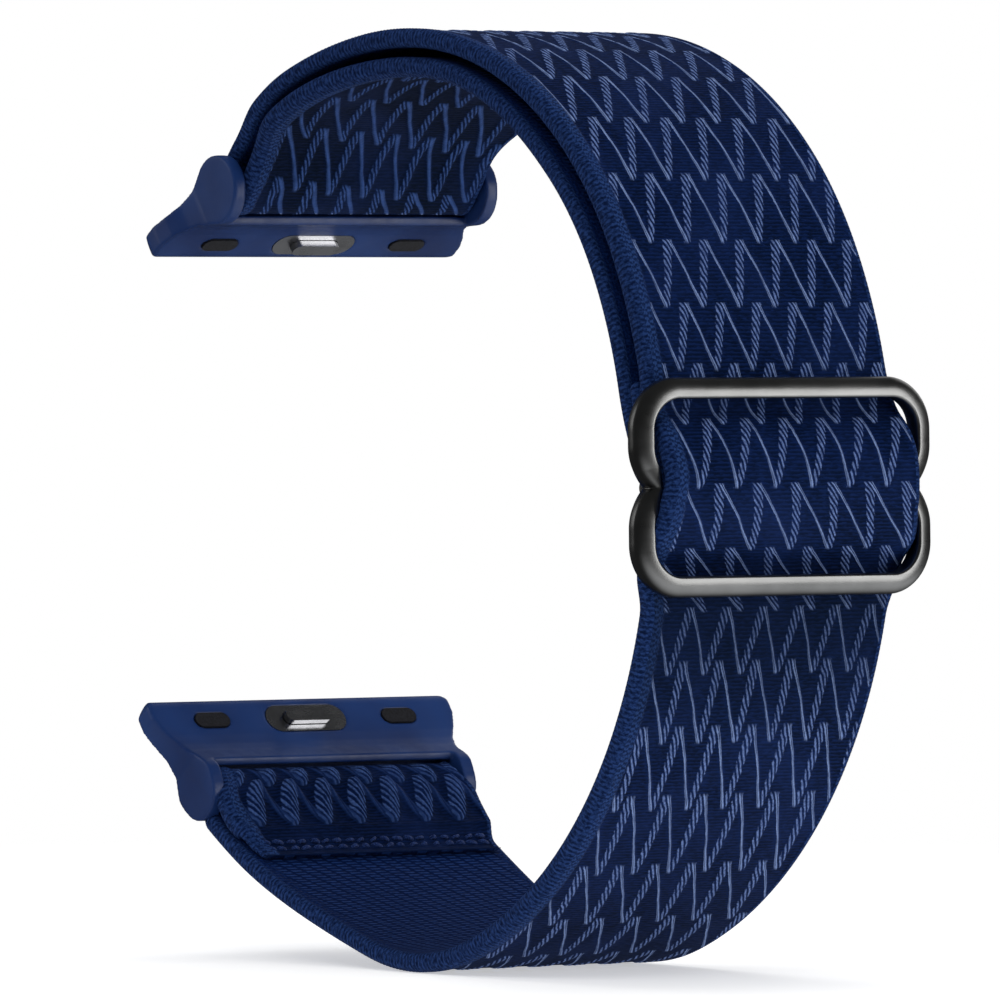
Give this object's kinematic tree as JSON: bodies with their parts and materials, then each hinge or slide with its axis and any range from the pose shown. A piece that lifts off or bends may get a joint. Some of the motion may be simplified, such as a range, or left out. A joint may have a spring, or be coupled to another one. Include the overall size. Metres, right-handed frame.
{
  "type": "elastic watch band",
  "caption": "Elastic woven watch band bent in an open loop, with a sliding figure-eight adjuster buckle and slide-in case adapters.",
  "frame": {"origin": "middle of the bounding box in X and Y, at the lowest point of the loop", "axes": "+Z along the loop from the lower adapter to the upper adapter, +X out through the buckle away from the watch, +Y across the webbing"},
  "size_m": [0.0716, 0.0306, 0.0766],
  "materials": {
    "webbing": "woven, matte",
    "thread": "matte",
    "adapter_plastic": "satin",
    "gunmetal": "dark satin plating",
    "steel": "satin",
    "grip_pad": "matte"
  },
  "bodies": {
    "strap": {"crown_flex_outer": "webbing", "crown_flex_inner": "webbing", "shoulder_run": "webbing", "inner_shoulder_run": "webbing", "run_above_buckle": "webbing", "run_below_buckle": "webbing", "inner_slack_run": "webbing", "quarter_run": "webbing", "quarter_flex": "webbing"},
    "upper_strap": {"upper_wrap": "webbing", "rising_run": "webbing", "crown_run": "webbing", "inner_rising_run": "webbing", "inner_crown_run": "webbing"},
    "buckle": {"buckle_frame": "gunmetal", "buckle_middle_bar": "gunmetal", "buckle_wave": "webbing", "buckle_loop": "webbing", "buckle_loop_stitching": "thread"},
    "lower_strap": {"foot_run": "webbing", "stretch_run": "webbing"},
    "lower_end": {"end_run": "webbing", "lower_wrap": "webbing", "lower_end_tab": "webbing", "lower_tab_stitching": "thread"},
    "upper_adapter": {"upper_lug_body": "adapter_plastic", "upper_crossbar": "steel", "upper_catch_plate": "steel", "upper_catch_spring": "steel", "upper_grip_pads": "grip_pad"},
    "lower_adapter": {"lower_lug_body": "adapter_plastic", "lower_crossbar": "steel", "lower_catch_plate": "steel", "lower_catch_spring": "steel", "lower_grip_pads": "grip_pad"},
    "upper_catch": {"upper_catch": "steel"},
    "lower_catch": {"lower_catch": "steel"}
  },
  "joints": [
    {"name": "crown_bend", "type": "hinge", "parent": "strap", "child": "upper_strap", "pos_m": [-0.00499, 0, 0.07424], "axis": [0, 1, 0], "range_deg": [-20, 20], "stiffness_Nm_per_rad": 0.05, "deforming": ["crown_flex_outer", "crown_flex_inner"]},
    {"name": "quarter_bend", "type": "hinge", "parent": "strap", "child": "lower_strap", "pos_m": [0.01289, 0, 0.00497], "axis": [0, 1, 0], "range_deg": [-20, 20], "stiffness_Nm_per_rad": 0.05, "deforming": ["quarter_flex"]},
    {"name": "buckle_slide", "type": "hinge", "parent": "strap", "child": "buckle", "pos_m": [-0.008, 0, 0.03903], "axis": [0, 1, 0], "range_deg": [-11, 11], "deforming": ["run_above_buckle", "inner_slack_run", "run_below_buckle"]},
    {"name": "elastic_stretch", "type": "slide", "parent": "lower_strap", "child": "lower_end", "axis": [-0.9455, 0, 0.3256], "range_m": [0, 0.008], "stiffness_N_per_m": 600, "deforming": ["stretch_run"]},
    {"name": "upper_adapter_swing", "type": "hinge", "parent": "upper_strap", "child": "upper_adapter", "pos_m": [-0.02696, 0, 0.06363], "axis": [0, 1, 0], "range_deg": [-50, 15]},
    {"name": "lower_adapter_swing", "type": "hinge", "parent": "lower_end", "child": "lower_adapter", "pos_m": [-0.02964, 0, 0.01367], "axis": [0, 1, 0], "range_deg": [-50, 15]},
    {"name": "upper_catch_press", "type": "slide", "parent": "upper_adapter", "child": "upper_catch", "axis": [-0.5878, 0, 0.809], "range_m": [0, 0.0005], "stiffness_N_per_m": 300, "deforming": ["upper_catch_spring"]},
    {"name": "lower_catch_press", "type": "slide", "parent": "lower_adapter", "child": "lower_catch", "axis": [-0.7986, 0, -0.6018], "range_m": [0, 0.0005], "stiffness_N_per_m": 300, "deforming": ["lower_catch_spring"]}
  ]
}
